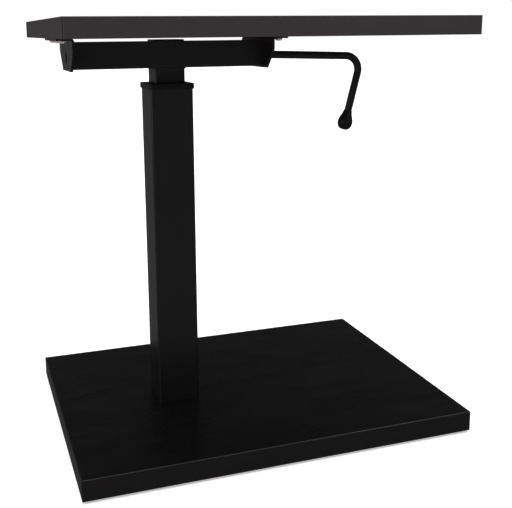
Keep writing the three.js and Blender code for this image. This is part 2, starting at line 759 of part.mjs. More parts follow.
addInnerTube();
addLowerGuide();
addHeadPlate();
addPistonRod();
addReleaseRod();
addBeam();
addEndPlates();
addDesktop();
addTopScrews();
addPivotBracket();
addPivotPin();
addLever();

export default desk;
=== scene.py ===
"""The looks of a height adjustable standing desk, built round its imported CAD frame."""
import json
from math import cos, pi, radians, sin, tan

import bmesh
import bpy
from mathutils import Matrix, Vector


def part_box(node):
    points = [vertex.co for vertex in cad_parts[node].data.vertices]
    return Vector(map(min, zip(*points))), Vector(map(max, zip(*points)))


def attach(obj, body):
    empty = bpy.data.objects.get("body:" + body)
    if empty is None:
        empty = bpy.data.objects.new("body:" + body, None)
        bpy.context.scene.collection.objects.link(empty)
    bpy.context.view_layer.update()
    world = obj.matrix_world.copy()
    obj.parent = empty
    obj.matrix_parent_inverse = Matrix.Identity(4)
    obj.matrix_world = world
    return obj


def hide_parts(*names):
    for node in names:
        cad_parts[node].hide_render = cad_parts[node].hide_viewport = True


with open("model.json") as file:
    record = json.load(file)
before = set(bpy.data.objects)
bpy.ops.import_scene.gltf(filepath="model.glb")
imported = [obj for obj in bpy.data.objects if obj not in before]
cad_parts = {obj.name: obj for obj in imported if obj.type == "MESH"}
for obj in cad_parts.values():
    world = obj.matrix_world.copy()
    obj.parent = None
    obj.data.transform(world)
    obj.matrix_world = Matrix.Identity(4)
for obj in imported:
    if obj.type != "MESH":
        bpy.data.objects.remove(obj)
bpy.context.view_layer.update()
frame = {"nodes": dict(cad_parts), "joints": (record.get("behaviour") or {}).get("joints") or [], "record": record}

MM = 0.001

# ------------------------------------------------------------------ camera

CAMERA_PLACE = (-0.4817, -1.4093, 0.7084)
CAMERA_YAW = radians(18.69)
CAMERA_PITCH = radians(12.07)
CAMERA_ROLL = radians(0.53)
CAMERA_LENS = 57.63
CAMERA_SENSOR = 36
CAMERA_SHIFT = (0.0383, -0.0928)

# ------------------------------------------------------------------ sizes the frame doesn't give

# How far a piece is drawn clear of its neighbour, and the broken edge of the base board's hole.
GAP = 0.3 * MM
EASE = 0.2 * MM
# The least corner radius of a level ring, and the least radius of a turned profile.
TIGHTEST_CORNER = 0.3 * MM
ON_AXIS = 0.01 * MM
# How far a cutter reaches past the face that it cuts.
PAST = 1 * MM
# How far apart two equal heights or edges may be, and two corners that are one point.
SAME_PLACE = 1e-6
SAME_POINT = 1e-7

SIDES = ("front", "back", "left", "right")
BOARD = {"edge": 0.25 * MM, "rim": 2 * MM}
BAND = {"radius": 1.2 * MM, "cut_edge": 0.2 * MM}
# The marks at a board's corners: the cut end of the tape, dark as the tape's end and as painted shade in the
# corner, and the pale line beside it, a painted highlight of the rounded corner edge.
JOINT_SHADE_AND_HIGHLIGHT = {"tape": 2 * MM, "line": 1.1 * MM, "depth": 0.5 * MM, "blur": 0.1 * MM}
GLIDE = {"spigot": 4 * MM, "edge": 0.8 * MM}

TUBE_EDGE = 0.4 * MM
FOOT_CORNER = 8 * MM
COLLAR_CORNER = 5.5 * MM
COLLAR_EDGE = 0.8 * MM
OUTER_TUBE = {"wall": 2.5 * MM, "corner": 4 * MM}
INNER_TUBE = {"wall": 2 * MM, "corner": 3.5 * MM}
PLATE = {
    "thickness": 4 * MM, "bend": 2.5 * MM, "chamfer": 31 * MM, "bottom": 98 * MM,
    "corner": 1.5 * MM,
}
SLOT = {"width": 17 * MM, "height": 20 * MM, "centre_z": 0.6675}
# The inset keeps the hole in the channel's floor clear of its bends.
CHANNEL = {"thickness": 2.5 * MM, "bend": 1.5 * MM, "hole_inset": 2 * MM}
SHEET_EDGE = 0.35 * MM
WINDOW = {"width": 15.5 * MM, "above": 0.4 * MM, "below": 2.8 * MM}
LEVER = {
    "radius": 7 * MM, "droop": radians(1.8), "lean": radians(14.5), "bend": 26 * MM,
    "elbow": 278.2 * MM, "inner": 108 * MM, "arm": 141.8 * MM,
    "pin_bore": 3.2 * MM,
}
# The rod's broken edge: distance from its inner end, and the share of its radius there.
LEVER_TIP = ((0.0, 0.9), (0.3 * MM, 0.96), (0.8 * MM, 1.0))
KNOB = {
    "radius": 14 * MM, "neck": 8 * MM, "length": 37 * MM, "bore": 20 * MM, "widest": 22.5 * MM,
    "flatness": 0.7, "clearance": 0.15 * MM, "lip": 0.4 * MM, "swell_steps": 18, "crown_steps": 14,
}
# The dome's two powers flatten the head: one widens it early, the other keeps its crown level.
SCREW = {
    "head": 6.3 * MM, "height": 4.3 * MM, "shank": 2 * MM, "point": 4 * MM, "hole": 2.4 * MM,
    "cross": 6 * MM, "recess": 2 * MM, "recess_taper": 0.55, "tip": 0.001 * MM,
    "dome": (0.8, 0.7), "dome_steps": 7,
}
WELD = {"radius": 2.0 * MM, "ripple": 0.18 * MM, "pitch": 2.2 * MM, "step": 0.55 * MM}

# ------------------------------------------------------------------ light and surroundings

# What the desk sees is a dim room, a pale sweep low at the back, and a pale floor in front.
# Each of the two fades in from its first y to its second, and from its first z to its second,
# where y and z are those of the direction that the desk looks in.
ROOM_GLOW = 0.045
BACK_SWEEP = {"glow": 0.075, "y": (0.3, 0.8), "z": (0.16, 0.02)}
FRONT_SWEEP = {"glow": 0.08, "y": (-0.3, -0.8), "z": (-0.09, -0.3)}

# The floor's own light, as the desk sees it and as the camera sees it.
FLOOR_LIFT = (0.16, 0.5)
FLOOR_TONES = ((0.87, 0.87, 0.87, 1), (0.89, 0.89, 0.89, 1))
FLOOR_SIZE = 30.0

SUN = {"power": 3.6, "angle": radians(80)}
# Each area light's place, sides, power and colour.  All are turned to the target.
AREA_LIGHTS = {
    "key_left": ((-3.2, -1.0, 1.3), (2.4, 2.4), 26, (1.0, 0.92, 0.78)),
    "front_fill": ((2.0, -3.6, 2.1), (1.5, 1.2), 10, (1.0, 1.0, 1.0)),
}
LIGHT_TARGET = (0, 0, 0.4)

WHITE = (1, 1, 1, 1)
# The tint of the desk's highlights.
PLUM = (1.0, 0.93, 0.96, 1.0)


# ------------------------------------------------------------------ node materials

class Nodes:
    """A node tree and short ways to add to it."""

    def __init__(self, tree):
        self.tree = tree

    def node(self, kind, inputs=None, **settings):
        """A new node.  An input is a number or colour, or another node's output to link."""
        made = self.tree.nodes.new(kind)
        for key, value in settings.items():
            setattr(made, key, value)
        for socket, value in (inputs or {}).items():
            if isinstance(value, bpy.types.NodeSocket):
                self.tree.links.new(value, made.inputs[socket])
            else:
                made.inputs[socket].default_value = value
        return made

    def ramp(self, value, low, high, from_value, to_value):
        """Maps value from low..high to from_value..to_value, clamped."""
        made = self.node("ShaderNodeMapRange", {
            "Value": value, "From Min": low, "From Max": high,
            "To Min": from_value, "To Max": to_value,
        })
        return made.outputs["Result"]

    def maths(self, operation, *inputs):
        made = self.node("ShaderNodeMath", dict(enumerate(inputs)), operation=operation)
        return made.outputs["Value"]


class Finish(Nodes):
    """A Principled material and short ways to add nodes to it."""

    def __init__(self, name, **sockets):
        self.material = bpy.data.materials.new(name)
        self.material.use_nodes = True
        super().__init__(self.material.node_tree)
        self.shader = self.tree.nodes["Principled BSDF"]
        for socket, value in sockets.items():
            self.shader.inputs[socket.replace("_", " ")].default_value = value
        self.place = self.node("ShaderNodeTexCoord").outputs["Object"]

    def stretched(self, scale):
        """Object coordinates, scaled differently along each axis."""
        mapping = self.node("ShaderNodeMapping", {"Vector": self.place, "Scale": scale})
        return mapping.outputs["Vector"]

    def noise(self, scale, detail=3.0, roughness=0.5, vector=None):
        made = self.node("ShaderNodeTexNoise", {
            "Vector": vector or self.place, "Scale": scale, "Detail": detail,
            "Roughness": roughness,
        })
        return made.outputs["Fac"]

    def mix(self, factor, first, second):
        """A mix of two colours.  Its colour sockets have the numbers 6 and 7, and 2 comes out."""
        colours = {0: factor, 6: first, 7: second}
        return self.node("ShaderNodeMix", colours, data_type="RGBA").outputs[2]

    def set(self, socket, value):
        self.tree.links.new(value, self.shader.inputs[socket])

    def bump(self, height, depth, after=None):
        inputs = {"Height": height, "Distance": depth, "Strength": 1.0}
        if after is not None:
            inputs["Normal"] = after
        return self.node("ShaderNodeBump", inputs).outputs["Normal"]


def grey(value, warmth=0.0):
    """A near-black grey with the slight plum cast that the whole desk has."""
    return (value * (1.08 + warmth), value * 0.97, value * (1.01 - warmth), 1.0)


def laminate(name, tone, roughness, level=0.5):
    """Melamine board: pressed pearl texture, faint cloudiness and handling smears."""
    finish = Finish(name, IOR=1.42, Specular_IOR_Level=level, Specular_Tint=PLUM)
    cloud = finish.noise(7.0, 4.0)
    speck = finish.noise(1500.0, 2.0)
    shade = finish.mix(cloud, grey(tone * 0.88, 0.01), grey(tone * 1.12, -0.01))
    fleck = finish.ramp(speck, 0.62, 0.75, 0.0, 0.35)
    finish.set("Base Color", finish.mix(fleck, shade, grey(tone * 1.9)))
    smear = finish.noise(1.0, 5.0, 0.6, finish.stretched((9.0, 26.0, 9.0)))
    finish.set("Roughness", finish.ramp(smear, 0.3, 0.7, roughness - 0.05, roughness + 0.06))
    pearl = finish.bump(finish.noise(850.0, 3.0, 0.55), 0.05 * MM)
    waves = finish.bump(finish.noise(11.0, 1.0), 0.10 * MM, pearl)
    finish.set("Normal", waves)
    return finish.material


def edge_band(name, tone, roughness, board):
    """Plastic edge tape: fine drag lines from trimming, small nicks, and at its corners a dark tape end with
    painted shade and a painted highlight line.
    """
    finish = Finish(name, IOR=1.46, Specular_Tint=PLUM)
    drag = finish.noise(1.0, 3.0, 0.5, finish.stretched((40.0, 40.0, 2600.0)))
    cloud = finish.noise(9.0, 3.0)
    shade = finish.mix(cloud, grey(tone * 0.9, 0.01), grey(tone * 1.1, -0.01))
    nick = finish.ramp(finish.noise(160.0, 4.0, 0.6), 0.72, 0.78, 0.0, 0.5)
    worn = finish.mix(nick, shade, grey(tone * 2.4))
    finish.set("Base Color", corner_shade_and_highlight(finish, worn, tone, board))
    finish.set("Roughness", finish.ramp(drag, 0.3, 0.7, roughness - 0.05, roughness + 0.07))
    grain = finish.bump(finish.noise(900.0, 2.0), 0.03 * MM)
    finish.set("Normal", finish.bump(drag, 0.025 * MM, grain))
    return finish.material


def outline(board):
    """The low and high corners, in X and Y, of a board with its edge bands."""
    boxes = [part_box(f"{board}_edge_band_{side}") for side in SIDES]
    lo = [min(box[0][i] for box in boxes) for i in range(2)]
    hi = [max(box[1][i] for box in boxes) for i in range(2)]
    return lo, hi


def corner_shade_and_highlight(finish, colour, tone, board):
    """At the board's corners: the dark cut end of the side tape, darkened further as painted shade in the corner,
    and a pale line beside it that is a painted highlight of the rounded corner edge.
    """
    lo, hi = outline(board)
    place = finish.node("ShaderNodeSeparateXYZ", {0: finish.place})
    inset = []
    for i, axis in enumerate("XY"):
        from_middle = finish.maths("SUBTRACT", place.outputs[axis], (lo[i] + hi[i]) / 2)
        reach = finish.maths("ABSOLUTE", from_middle)
        inset.append(finish.maths("SUBTRACT", (hi[i] - lo[i]) / 2, reach))
    across, into = inset
    tape, blur = JOINT_SHADE_AND_HIGHLIGHT["tape"], JOINT_SHADE_AND_HIGHLIGHT["blur"]
    line_end = tape + JOINT_SHADE_AND_HIGHLIGHT["line"]
    on_end = finish.ramp(into, JOINT_SHADE_AND_HIGHLIGHT["depth"], JOINT_SHADE_AND_HIGHLIGHT["depth"] * 1.5, 1.0, 0.0)
    # The dark band over the tape's cut end is partly the tape's own dark end and partly painted shade in the
    # corner.
    dark_end_and_shade = finish.ramp(across, tape - blur, tape, 1.0, 0.0)
    # The pale line beside it is a painted highlight. It stands in for light caught by the rounded corner edge.
    painted_highlight = finish.ramp(across, line_end, line_end + blur, 1.0, 0.0)
    pale = finish.mix(finish.maths("MULTIPLY", painted_highlight, on_end), colour, grey(tone * 1.6))
    return finish.mix(finish.maths("MULTIPLY", dark_end_and_shade, on_end), pale, grey(tone * 0.45))


def powder_coat(name, tone, roughness):
    """Cured powder on steel: orange peel about a millimetre across, over faint pooling."""
    finish = Finish(name, IOR=1.48, Specular_Tint=PLUM, Coat_Weight=0.1, Coat_Roughness=0.25)
    pool = finish.noise(18.0, 3.0)
    finish.set("Base Color", finish.mix(pool, grey(tone * 0.85), grey(tone * 1.2)))
    dust = finish.noise(420.0, 2.0)
    finish.set("Roughness", finish.ramp(dust, 0.3, 0.7, roughness - 0.04, roughness + 0.05))
    peel = finish.bump(finish.noise(620.0, 2.0, 0.45), 0.09 * MM)
    finish.set("Normal", finish.bump(finish.noise(2400.0, 1.0), 0.012 * MM, peel))
    return finish.material


def moulded(name, tone, roughness, grain_scale=1400.0, grain_depth=0.03 * MM, **sockets):
    """Moulded plastic or rubber: spark-eroded grain and slight colour drift."""
    finish = Finish(name, **sockets)
    cloud = finish.noise(30.0, 3.0)
    finish.set("Base Color", finish.mix(cloud, grey(tone * 0.85, 0.01), grey(tone * 1.15)))
    worn = finish.noise(60.0, 4.0)
    finish.set("Roughness", finish.ramp(worn, 0.3, 0.7, roughness - 0.06, roughness + 0.08))
    finish.set("Normal", finish.bump(finish.noise(grain_scale, 3.0), grain_depth))
    return finish.material


def steel(name, tone, roughness):
    """Dull zinc plate with turning lines and a little staining."""
    finish = Finish(name, Metallic=0.5)
    lines = finish.noise(1.0, 2.0, 0.5, finish.stretched((200.0, 200.0, 3500.0)))
    stain = finish.noise(45.0, 4.0)
    finish.set("Base Color", finish.mix(stain, grey(tone * 0.85, 0.01), grey(tone * 1.05)))
    finish.set("Roughness", finish.ramp(lines, 0.3, 0.7, roughness - 0.07, roughness + 0.09))
    finish.set("Normal", finish.bump(lines, 0.01 * MM))
    return finish.material


FINISHES = {
    "desktop_laminate": laminate("desktop_laminate", 0.028, 0.42),
    "desktop_edge_band": edge_band("desktop_edge_band", 0.031, 0.45, "desktop"),
    "base_laminate": laminate("base_laminate", 0.003, 0.28, 0.29),
    "base_edge_band": edge_band("base_edge_band", 0.006, 0.42, "base"),
    "black_powder_coat": powder_coat("black_powder_coat", 0.0082, 0.32),
    "black_plastic": moulded("black_plastic", 0.004, 0.42, IOR=1.42),
    "knob_plastic": moulded("knob_plastic", 0.007, 0.4, 1800.0, 0.015 * MM, IOR=1.4),
    "black_rubber": moulded("black_rubber", 0.012, 0.75, 700.0, 0.08 * MM),
    "white_acetal": moulded("white_acetal", 0.70, 0.40, 900.0, 0.02 * MM),
    "zinc_steel": steel("zinc_steel", 0.62, 0.33),
}
NODE_SLOT = {s["node"]: s["material_slot"] for s in frame["record"]["subparts"]}
NODE_BODY = {
    node: body
    for body, nodes in frame["record"]["behaviour"]["bodies"].items()
    for node in nodes
}


# ------------------------------------------------------------------ making meshes

def shade(mesh, angle=40):
    """Smooth, with an edge left sharp where its faces turn by more than angle degrees."""
    mesh.shade_smooth()
    mesh.set_sharp_from_angle(angle=radians(angle))


def piece(name, bm, smooth_angle=40):
    """A new object from a bmesh, with outward faces and flat faces kept flat."""
    bmesh.ops.recalc_face_normals(bm, faces=bm.faces)
    mesh = bpy.data.meshes.new(name)
    bm.to_mesh(mesh)
    bm.free()
    shade(mesh, smooth_angle)
    made = bpy.data.objects.new(name, mesh)
    bpy.context.scene.collection.objects.link(made)
    weighted = made.modifiers.new("flat faces", "WEIGHTED_NORMAL")
    weighted.keep_sharp = True
    return made


def cut(made, cutter_mesh):
    """Subtracts a bmesh from an object and keeps the result as its mesh."""
    mesh = bpy.data.meshes.new("cutter")
    cutter_mesh.to_mesh(mesh)
    cutter_mesh.free()
    cutter = bpy.data.objects.new("cutter", mesh)
    bpy.context.scene.collection.objects.link(cutter)
    boolean = made.modifiers.new("cut", "BOOLEAN")
    boolean.operation = "DIFFERENCE"
    boolean.use_self = True
    boolean.object = cutter
    made.modifiers.move(len(made.modifiers) - 1, 0)
    evaluated = made.evaluated_get(bpy.context.evaluated_depsgraph_get())
    made.modifiers.remove(boolean)
    made.data = bpy.data.meshes.new_from_object(evaluated)
    bpy.data.objects.remove(cutter)
    shade(made.data)


def dress(made, node, stands_in=True):
    """Gives a piece its node's finish and body.  It stands in for the node unless told not to."""
    slot = NODE_SLOT[node]
    made.data.materials.clear()
    made.data.materials.append(FINISHES[slot])
    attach(made, NODE_BODY[node])
    if stands_in:
        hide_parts(node)


def rounded(profile, radius, steps=3, closed=True):
    """The profile's points with each sharp corner turned into a short arc.

    An arc takes up less than half of either side, so that two never meet.
    """
    points = [Vector(p) for p in profile]
    count = len(points)
    made = []
    for i, corner in enumerate(points):
        if not closed and i in (0, count - 1):
            made.append(corner)
            continue
        before = points[i - 1] - corner
        after = points[(i + 1) % count] - corner
        reach = min(radius, before.length * 0.45, after.length * 0.45)
        start = corner + before.normalized() * reach
        end = corner + after.normalized() * reach
        for k in range(steps + 1):
            t = k / steps
            made.append(start * (1 - t) ** 2 + corner * 2 * t * (1 - t) + end * t ** 2)
    return made


def ring(centre, half, corner, z, segments):
    """A level loop of points: a rectangle with these half sides and round corners."""
    points = []
    for quarter, (sx, sy) in enumerate(((1, 1), (-1, 1), (-1, -1), (1, -1))):
        for k in range(segments + 1):
            angle = (quarter + k / segments) * pi / 2
            x = centre[0] + sx * (half[0] - corner) + corner * cos(angle)
            y = centre[1] + sy * (half[1] - corner) + corner * sin(angle)
            points.append(Vector((x, y, z)))
    return points


def skin(bm, loops, closed):
    """Faces over loops of vertices, which close on themselves or end in flat caps."""
    pairs = list(zip(loops, loops[1:]))
    if closed:
        pairs.append((loops[-1], loops[0]))
    for low, high in pairs:
        for i in range(len(low)):
            j = (i + 1) % len(low)
            bm.faces.new((low[i], low[j], high[j], high[i]))
    if not closed:
        bm.faces.new(loops[0][::-1])
        bm.faces.new(loops[-1])


def ring_solid(name, rings, closed):
    """A solid skinned over level rings, which close on themselves or end in flat caps."""
    bm = bmesh.new()
    skin(bm, [[bm.verts.new(p) for p in points] for points in rings], closed)
    bmesh.ops.remove_doubles(bm, verts=bm.verts, dist=SAME_POINT)
    return piece(name, bm)


def moulding(name, profile, centre, half, corner, segments=8, closed=True):
    """A profile of (inset, z) points carried round a rectangle with round corners."""
    rings = []
    for inset, z in profile:
        sides = (half[0] - inset, half[1] - inset)
        rings.append(ring(centre, sides, max(corner - inset, TIGHTEST_CORNER), z, segments))
    return ring_solid(name, rings, closed)


def turned(name, profile, centre=(0, 0), segments=8):
    """A profile of (radius, z) points, turned about an upright axis."""
    rings = [ring(centre, (r, r), r, z, segments) for r, z in profile]
    return ring_solid(name, rings, closed=False)


def middle(node):
    lo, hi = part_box(node)
    return ((lo.x + hi.x) / 2, (lo.y + hi.y) / 2)


def half_size(node):
    lo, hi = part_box(node)
    return ((hi.x - lo.x) / 2, (hi.y - lo.y) / 2)


def swept(name, points, sizes, normal, sides=28, closed=False):
    """A round bar of these radii along points in the plane with this normal."""
    bm = bmesh.new()
    loops = []
    last = len(points) - 1
    for i, (point, size) in enumerate(zip(points, sizes)):
        before = points[i - 1] if closed else points[max(i - 1, 0)]
        after = points[(i + 1) % len(points)] if closed else points[min(i + 1, last)]
        across = (after - before).normalized().cross(normal)
        loop = []
        for k in range(sides):
            angle = 2 * pi * k / sides
            offset = across * cos(angle) + normal * sin(angle)
            loop.append(bm.verts.new(point + offset * size))
        loops.append(loop)
    skin(bm, loops, closed)
    return piece(name, bm, 50)


# ------------------------------------------------------------------ folded sheet metal

class FoldPath:
    """A flat strip's path in a plane, by distance along it: straight runs joined by bends.

    A run is (length, bend that follows it, bend's radius).  cuts are the lines that a bend needs.
    """

    def __init__(self, start, heading, runs):
        self.stretches = []
        self.cuts = []
        point, distance = Vector(start), 0.0
        for length, bend, radius in runs:
            self.stretches.append((distance, point.copy(), heading, 0.0))
            point = point + length * Vector((cos(heading), sin(heading)))
            distance += length
            if bend:
                turn = bend / abs(bend) / radius
                self.stretches.append((distance, point.copy(), heading, turn))
                arc = abs(bend) * radius
                self.cuts += [distance + arc * k / 8 for k in range(9)]
                chord = 2 * radius * sin(abs(bend) / 2)
                half = heading + bend / 2
                point = point + chord * Vector((cos(half), sin(half)))
                heading += bend
                distance += arc
        self.length = distance

    def at(self, distance):
        """The point there, and the direction of travel."""
        reached = [s for s in self.stretches if s[0] <= distance] or self.stretches[:1]
        start, point, heading, turn = reached[-1]
        gone = distance - start
        if not turn:
            return point + gone * Vector((cos(heading), sin(heading))), heading
        angle = gone * turn
        chord = 2 * sin(abs(angle) / 2) / abs(turn)
        half = heading + angle / 2
        return point + chord * Vector((cos(half), sin(half))), heading + angle


def flat_sheet(outline, holes, thickness, edge):
    """A flat plate with eased edges, from z = 0 to -thickness, as a bmesh."""
    curve = bpy.data.curves.new("blank", "CURVE")
    curve.dimensions = "2D"
    curve.fill_mode = "BOTH"
    curve.extrude = thickness / 2 - edge
    curve.bevel_depth = edge
    curve.bevel_resolution = 2
    curve.offset = -edge
    for loop in [outline, *holes]:
        spline = curve.splines.new("POLY")
        spline.points.add(len(loop) - 1)
        for slot, (x, y) in zip(spline.points, loop):
            slot.co = (x, y, 0, 1)
        spline.use_cyclic_u = True
    holder = bpy.data.objects.new("blank", curve)
    bpy.context.scene.collection.objects.link(holder)
    evaluated = holder.evaluated_get(bpy.context.evaluated_depsgraph_get())
    mesh = bpy.data.meshes.new_from_object(evaluated)
    bm = bmesh.new()
    bm.from_mesh(mesh)
    bpy.data.objects.remove(holder)
    bpy.data.curves.remove(curve)
    bpy.data.meshes.remove(mesh)
    bmesh.ops.translate(bm, verts=bm.verts, vec=(0, 0, -thickness / 2))
    bmesh.ops.remove_doubles(bm, verts=bm.verts, dist=SAME_PLACE)
    return bm


def folded_sheet(name, outline, holes, thickness, path, to_world):
    """Bends a flat plate, whose X runs along the path, and places it with to_world."""
    bm = flat_sheet(outline, holes, thickness, SHEET_EDGE)
    for distance in path.cuts:
        geometry = bm.verts[:] + bm.edges[:] + bm.faces[:]
        bmesh.ops.bisect_plane(bm, geom=geometry, plane_co=(distance, 0, 0), plane_no=(1, 0, 0))
    for vert in bm.verts:
        point, heading = path.at(vert.co.x)
        outwards = Vector((sin(heading), -cos(heading)))
        folded = point - vert.co.z * outwards
        vert.co = to_world(folded, vert.co.y)
    return piece(name, bm, 30)


def round_hole(x, y, radius, sides=24):
    return [
        (x + radius * cos(2 * pi * k / sides), y + radius * sin(2 * pi * k / sides))
        for k in range(sides)
    ]


def obround(x, y, length, width, sides=12):
    """A slot centred on x, y, with round ends along X."""
    reach = (length - width) / 2
    points = []
    for end, start in ((1, -pi / 2), (-1, pi / 2)):
        for k in range(sides + 1):
            angle = start + pi * k / sides
            points.append((x + end * reach + width / 2 * cos(angle), y + width / 2 * sin(angle)))
    return points


# ------------------------------------------------------------------ boards

def make_board(name, node, hole=()):
    """A board's core.  hole is a list of (centre, half, corner, z) rings, from the top down."""
    lo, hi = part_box(node)
    half = half_size(node)
    rim = BOARD["rim"]
    outside = rounded([(rim, lo.z), (0, lo.z), (0, hi.z), (rim, hi.z)], BOARD["edge"], 2, False)
    rings = []
    for step_in, z in outside:
        sides = (half[0] - step_in, half[1] - step_in)
        rings.append(ring(middle(node), sides, TIGHTEST_CORNER, z, 4))
    rings += [ring(*step, 4) for step in hole]
    dress(ring_solid(name, rings, closed=bool(hole)), node)


def make_band(name, node):
    """An edge band, its outer edges rounded over.  The ends of a front or back band stay square."""
    lo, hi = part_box(node)
    side = node.rsplit("_", 1)[1]
    axis = 0 if side in ("left", "right") else 1
    outer = hi[axis] if side in ("right", "back") else lo[axis]
    bm = bmesh.new()
    bmesh.ops.create_cube(bm, size=1.0)
    for vert in bm.verts:
        vert.co = Vector(hi[i] if vert.co[i] > 0 else lo[i] for i in range(3))
    proud = [e for e in bm.edges if all(abs(v.co[axis] - outer) < SAME_PLACE for v in e.verts)]
    if axis == 1:
        proud = [e for e in proud if abs(e.verts[0].co.z - e.verts[1].co.z) < SAME_PLACE]
    bmesh.ops.bevel(bm, geom=proud, offset=BAND["radius"], segments=5, profile=0.5,
                    affect="EDGES", clamp_overlap=True)
    sharp = [e for e in bm.edges if e.calc_face_angle(0) > radians(50)]
    bmesh.ops.bevel(bm, geom=sharp, offset=BAND["cut_edge"], segments=2, profile=0.5,
                    affect="EDGES", clamp_overlap=True)
    dress(piece(name, bm), node)


def make_boards():
    make_board("desktop_board", "desktop_panel")
    foot_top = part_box("foot_plate")[1].z + GAP
    base_lo, base_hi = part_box("base_panel")
    column = middle("outer_tube")
    tube_half = (half_size("outer_tube")[0] + GAP,) * 2
    foot_half = (half_size("foot_plate")[0] + GAP,) * 2
    mouth = (tube_half[0] + EASE,) * 2
    tube_corner = OUTER_TUBE["corner"] + GAP
    foot_corner = FOOT_CORNER + GAP
    hole = [
        (column, mouth, tube_corner + EASE, base_hi.z),
        (column, tube_half, tube_corner, base_hi.z - EASE),
        (column, tube_half, tube_corner, foot_top),
        (column, foot_half, foot_corner, foot_top),
        (column, foot_half, foot_corner, base_lo.z),
    ]
    make_board("base_board", "base_panel", hole)
    for board in ("desktop", "base"):
        for side in SIDES:
            make_band(f"{board}_band_{side}", f"{board}_edge_band_{side}")


# ------------------------------------------------------------------ column

def make_square_tube(name, node, tube):
    lo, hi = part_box(node)
    wall = tube["wall"]
    profile = rounded([(0, lo.z), (0, hi.z), (wall, hi.z), (wall, lo.z)], TUBE_EDGE)
    return moulding(name, profile, middle(node), half_size(node), tube["corner"])


def make_collar():
    """The cap: a skirt over the tube's end and a rim that reaches in to the inner tube."""
    lo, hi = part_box("column_collar")
    outside = half_size("column_collar")[0]
    tube_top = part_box("outer_tube")[1].z + GAP
    seat = outside - half_size("outer_tube")[0] - GAP
    mouth = outside - half_size("inner_tube")[0] - GAP
    profile = rounded([
        (0, lo.z), (0, hi.z), (mouth, hi.z), (mouth, tube_top), (seat, tube_top), (seat, lo.z),
    ], COLLAR_EDGE)
    made = moulding("column_cap", profile, middle("column_collar"), (outside, outside),
                    COLLAR_CORNER)
    dress(made, "column_collar")


def make_column():
    dress(make_square_tube("column_outer_tube", "outer_tube", OUTER_TUBE), "outer_tube")
    make_collar()


# ------------------------------------------------------------------ lift frame

def plate_holes(lo, hi, sign, length):
    """On the flat plate, of this length: the lever's slot and the desktop screws' holes."""
    inner_face = lo.x if sign > 0 else hi.x
    holes = [obround(SLOT["centre_z"] - lo.z, 0, SLOT["height"], SLOT["width"])]
    for screw in sorted(NODE_SLOT):
        if not screw.startswith("desktop_screw"):
            continue
        x, y = middle(screw)
        away = (x - inner_face) * sign
        if away > 0:
            holes.append(round_hole(length - (hi.x - lo.x) + away, y, SCREW["hole"]))
    return holes


def make_end_plate(side):
    """A plate folded outwards along its top, with chamfered feet, a slot and screw holes."""
    node = f"end_plate_{side}"
    lo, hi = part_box(node)
    sign = 1 if side == "right" else -1
    inner_face = lo.x if sign > 0 else hi.x
    t = PLATE["thickness"]
    outer_bend = PLATE["bend"] + t
    upright = hi.z - lo.z - outer_bend
    flange = (hi.x - lo.x) - outer_bend
    path = FoldPath((0, lo.z), pi / 2, [(upright, -pi / 2, outer_bend), (flange, 0, 0)])
    top, bottom, foot = (hi.y - lo.y) / 2, PLATE["bottom"] / 2, PLATE["chamfer"]
    outline = [
        (0, -bottom), (foot, -top), (path.length, -top), (path.length, top), (foot, top),
        (0, bottom),
    ]
    outline = [tuple(p) for p in rounded(outline, PLATE["corner"])]
    holes = plate_holes(lo, hi, sign, path.length)

    def to_world(folded, across):
        return Vector((inner_face + sign * folded.x, across, folded.y))

    dress(folded_sheet(f"bracket_plate_{side}", outline, holes, t, path, to_world), node)


def make_beam():
    """The channel: a strip folded up along both sides, with a square hole for the tube."""
    lo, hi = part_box("beam_channel")
    t, bend = CHANNEL["thickness"], CHANNEL["bend"]
    web = (hi.z - lo.z) - t - bend
    floor = (hi.y - lo.y) - 2 * (t + bend)
    inside = (hi.y - lo.y) / 2 - t
    path = FoldPath((-inside, hi.z), -pi / 2, [
        (web, pi / 2, bend), (floor, pi / 2, bend), (web, 0, 0),
    ])
    half = (hi.x - lo.x) / 2
    centre_x = (hi.x + lo.x) / 2
    outline = [(0, -half), (path.length, -half), (path.length, half), (0, half)]
    tube = half_size("inner_tube")[0] + GAP / 2
    reach = tube - CHANNEL["hole_inset"]
    column_x = middle("inner_tube")[0] - centre_x
    mid = path.length / 2
    hole = [
        (mid - reach, column_x - tube), (mid + reach, column_x - tube),
        (mid + reach, column_x + tube), (mid - reach, column_x + tube),
    ]

    def to_world(folded, across):
        return Vector((centre_x + across, folded.x, folded.y))

    made = folded_sheet("beam", outline, [hole], t, path, to_world)
    dress(made, "beam_channel")


# ------------------------------------------------------------------ inner tube and welds

def lever_pivot():
    joint = next(j for j in frame["joints"] if j["name"] == "lever_lift")
    return Vector(joint["pos_m"])


def make_inner_tube():
    """The inner tube, with a window for the lever in each of its side walls."""
    made = make_square_tube("column_inner_tube", "inner_tube", INNER_TUBE)
    centre, half = middle("inner_tube")[0], half_size("inner_tube")[0]
    pivot = lever_pivot()
    rod_z = pivot.z + (pivot.x - centre - half) * tan(LEVER["droop"])
    top = rod_z + LEVER["radius"] + WINDOW["above"]
    bottom = rod_z - LEVER["radius"] - WINDOW["below"]
    outline = obround((top + bottom) / 2, 0, top - bottom, WINDOW["width"])
    cutter = bmesh.new()
    ends = []
    for x in (centre - half - PAST, centre + half + PAST):
        ends.append([cutter.verts.new((x, y, z)) for z, y in outline])
    skin(cutter, ends, closed=False)
    bmesh.ops.recalc_face_normals(cutter, faces=cutter.faces)
    cut(made, cutter)
    dress(made, "inner_tube")


